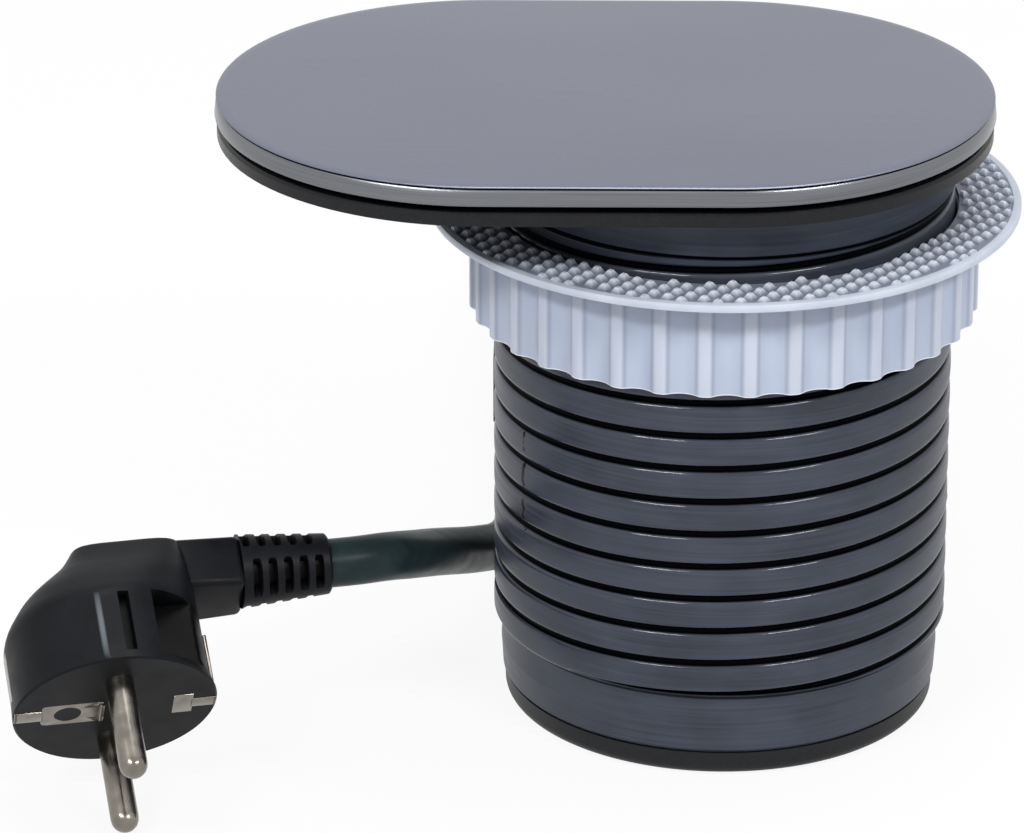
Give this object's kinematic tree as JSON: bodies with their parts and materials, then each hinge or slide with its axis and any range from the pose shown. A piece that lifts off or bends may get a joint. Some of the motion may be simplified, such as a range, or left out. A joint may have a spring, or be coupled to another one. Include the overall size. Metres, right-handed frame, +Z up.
{
  "type": "desk socket",
  "caption": "Worktop socket in a threaded barrel with a clamp nut and grip ring below, a swivelling oval steel lid on top, and a lead with an earthed plug.",
  "frame": {"origin": "middle of the barrel's bottom face, which the piece stands on", "axes": "+X along the lid's length, from the end over the worktop towards the barrel; +Y to the back, where the lead is put away; +Z up along the barrel's axis"},
  "size_m": [0.1729, 0.2681, 0.1111],
  "materials": {
    "barrel": "dark grey moulded plastic with a soft sheen",
    "cover": "black moulded plastic",
    "socket_plastic": "black plastic, semi gloss",
    "shutter": "black plastic",
    "nut": "milky natural plastic, slightly see-through",
    "lid_steel": "stainless steel brushed along the lid's length",
    "screw_steel": "zinc plated steel",
    "contact_brass": "plain stamped brass",
    "pin_metal": "nickel plated brass",
    "plug": "soft black moulding",
    "cord_sheath": "black flexible sheath, satin",
    "tie": "black woven strap",
    "washer": "white low-friction plastic",
    "wire_brown": "brown insulation",
    "wire_blue": "blue insulation",
    "wire_green_yellow": "green and yellow insulation"
  },
  "bodies": {
    "housing": {"threaded_barrel": "barrel", "base_plate": "socket_plastic", "base_screws": "screw_steel", "bottom_cap": "barrel", "bottom_cover": "cover", "bottom_screws": "screw_steel", "socket_insert": "socket_plastic", "insert_screws": "screw_steel", "contact_carrier": "socket_plastic", "carrier_screw": "screw_steel", "contact_sleeves": "contact_brass", "earth_strap": "contact_brass", "terminal_screws": "screw_steel", "cord_relief": "cord_sheath", "cord_inside": "cord_sheath", "cord_clamp": "cover", "cord_clamp_screws": "screw_steel", "wire_live": "wire_brown", "wire_neutral": "wire_blue", "wire_earth": "wire_green_yellow", "friction_washer": "washer", "shutter_spring": "screw_steel", "cord_to_plug": "cord_sheath", "cord_from_barrel": "cord_sheath", "cord_hank": "cord_sheath", "hank_tie": "tie", "plug_body": "plug", "plug_pins": "pin_metal", "plug_earth_clips": "pin_metal", "plug_relief": "plug"},
    "lid": {"lid_top_plate": "lid_steel", "lid_rim_band": "lid_steel", "lid_carrier": "socket_plastic", "pivot_rivet": "screw_steel"},
    "ring": {"grip_ring": "nut"},
    "nut": {"clamp_nut": "nut"},
    "shutter": {"shutter": "shutter"}
  },
  "joints": [
    {"name": "lid_swivel", "type": "hinge", "parent": "housing", "child": "lid", "pos_m": [-0.058, 0, 0.108], "axis": [0, 0, 1], "range_deg": [0, 180]},
    {"name": "nut_slide", "type": "slide", "parent": "housing", "child": "ring", "axis": [0, 0, 1], "range_m": [-0.042, 0.011]},
    {"name": "nut_spin", "type": "hinge", "parent": "ring", "child": "nut", "pos_m": [0, 0, 0.082], "axis": [0, 0, 1], "range_deg": [-2520, 660]},
    {"name": "shutter_slide", "type": "slide", "parent": "housing", "child": "shutter", "axis": [1, 0, 0], "range_m": [0, 0.0055], "stiffness_N_per_m": 60, "deforming": ["shutter_spring"]}
  ],
  "couplings": [
    {"joint": "nut_slide", "follows": "nut_spin", "m_per_rad": 0.00095493}
  ]
}
